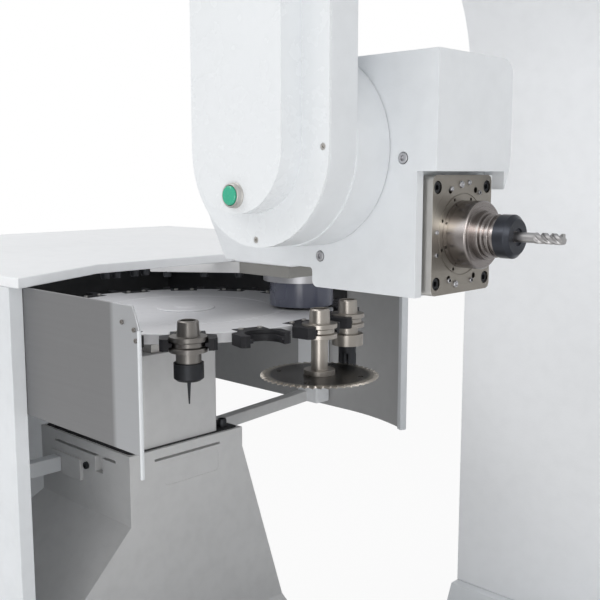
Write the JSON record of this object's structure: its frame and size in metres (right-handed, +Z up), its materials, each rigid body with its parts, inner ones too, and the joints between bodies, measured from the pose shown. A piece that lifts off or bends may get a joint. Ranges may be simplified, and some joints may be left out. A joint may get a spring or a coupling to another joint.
{
  "type": "cnc machining center",
  "caption": "Machining centre: a sliding ram and upright slide carry a swivelling spindle head on a side arm, with a carousel tool magazine beside the bed.",
  "frame": {"origin": "on the floor, under the middle of the machine's outline", "axes": "+X along the spindle away from the magazine, +Y from the operator to the column, +Z up"},
  "size_m": [2, 1.72, 2.765],
  "materials": {
    "white_paint": "semi-gloss machine paint",
    "cover_white": "smooth moulded cover",
    "grey_paint": "satin machine paint",
    "beige_paint": "satin machine paint",
    "navy_paint": "satin paint",
    "ground_steel": "fine ground",
    "tool_steel": "ground tool steel",
    "black_steel": "black oxide",
    "green_plastic": "moulded button cap"
  },
  "bodies": {
    "root": {"bed": "white_paint", "work_table": "ground_steel", "levelling_feet": "black_steel", "column": "white_paint", "x_rails": "ground_steel", "x_motor": "black_steel", "base_tray": "grey_paint", "pedestal": "grey_paint", "carousel_column": "grey_paint", "bearing_housing": "ground_steel", "front_panel": "white_paint", "side_panel": "white_paint", "rear_guard": "grey_paint", "guard_edge_post": "white_paint", "roof": "white_paint", "magazine_screws": "black_steel", "shield_plate": "grey_paint", "drive_plate": "beige_paint", "drive_flange": "ground_steel", "index_drive": "navy_paint", "rear_post": "white_paint", "support_rail": "grey_paint", "brace_bar": "white_paint"},
    "carousel": {"carousel_disc": "grey_paint", "carousel_shaft": "ground_steel", "ring_gear": "black_steel", "tool_forks": "black_steel", "fork_screws": "ground_steel", "drill_holder": "tool_steel", "drill_nut": "black_steel", "drill_bit": "tool_steel", "saw_arbor": "tool_steel", "saw_blade": "ground_steel", "cutter_holder": "tool_steel", "shell_cutter": "black_steel"},
    "pinion": {"index_pinion": "ground_steel"},
    "saddle_body": {"saddle": "white_paint", "saddle_carriages": "black_steel"},
    "ram_body": {"ram": "white_paint", "y_rails": "ground_steel", "z_carriages": "black_steel"},
    "slide_body": {"upright_slide": "white_paint", "z_rails": "ground_steel", "turning_unit": "white_paint"},
    "yoke": {"yoke_arm": "white_paint", "arm_cover": "cover_white", "cover_screws": "black_steel", "button_bezel": "ground_steel", "swivel_bearing": "ground_steel"},
    "button": {"start_button": "green_plastic"},
    "head": {"head_housing": "white_paint", "housing_bolts": "black_steel", "flange_plate": "ground_steel", "flange_bolts": "black_steel", "spindle_cartridge": "ground_steel", "nose_ring": "ground_steel"},
    "spindle": {"spindle_shaft": "ground_steel", "spindle_holder": "tool_steel", "spindle_nut": "black_steel", "end_mill": "tool_steel"}
  },
  "joints": [
    {"name": "x_travel", "type": "slide", "parent": "root", "child": "saddle_body", "axis": [1, 0, 0], "range_m": [0, 0.29]},
    {"name": "y_travel", "type": "slide", "parent": "saddle_body", "child": "ram_body", "axis": [0, -1, 0], "range_m": [0, 0.28]},
    {"name": "z_travel", "type": "slide", "parent": "ram_body", "child": "slide_body", "axis": [0, 0, -1], "range_m": [0, 0.35]},
    {"name": "head_turn", "type": "hinge", "parent": "slide_body", "child": "yoke", "pos_m": [0.332, -0.32, 1.529], "axis": [0, 0, 1], "range_deg": [-180, 180]},
    {"name": "head_swivel", "type": "hinge", "parent": "yoke", "child": "head", "pos_m": [0.332, -0.32, 1.529], "axis": [0, 1, 0], "range_deg": [0, 90]},
    {"name": "spindle_spin", "type": "hinge", "parent": "head", "child": "spindle", "pos_m": [0.483, -0.32, 1.43], "axis": [1, 0, 0], "continuous": true},
    {"name": "button_press", "type": "slide", "parent": "yoke", "child": "button", "axis": [0, 1, 0], "range_m": [0, 0.004], "stiffness_N_per_m": 400},
    {"name": "carousel_turn", "type": "hinge", "parent": "root", "child": "carousel", "pos_m": [-0.3, -0.1, 1.2], "axis": [0, 0, 1], "continuous": true},
    {"name": "pinion_spin", "type": "hinge", "parent": "root", "child": "pinion", "pos_m": [-0.15023, 0.07849, 1.25], "axis": [0, 0, 1], "continuous": true}
  ],
  "couplings": [
    {"joint": "pinion_spin", "follows": "carousel_turn", "ratio": -5.2}
  ]
}
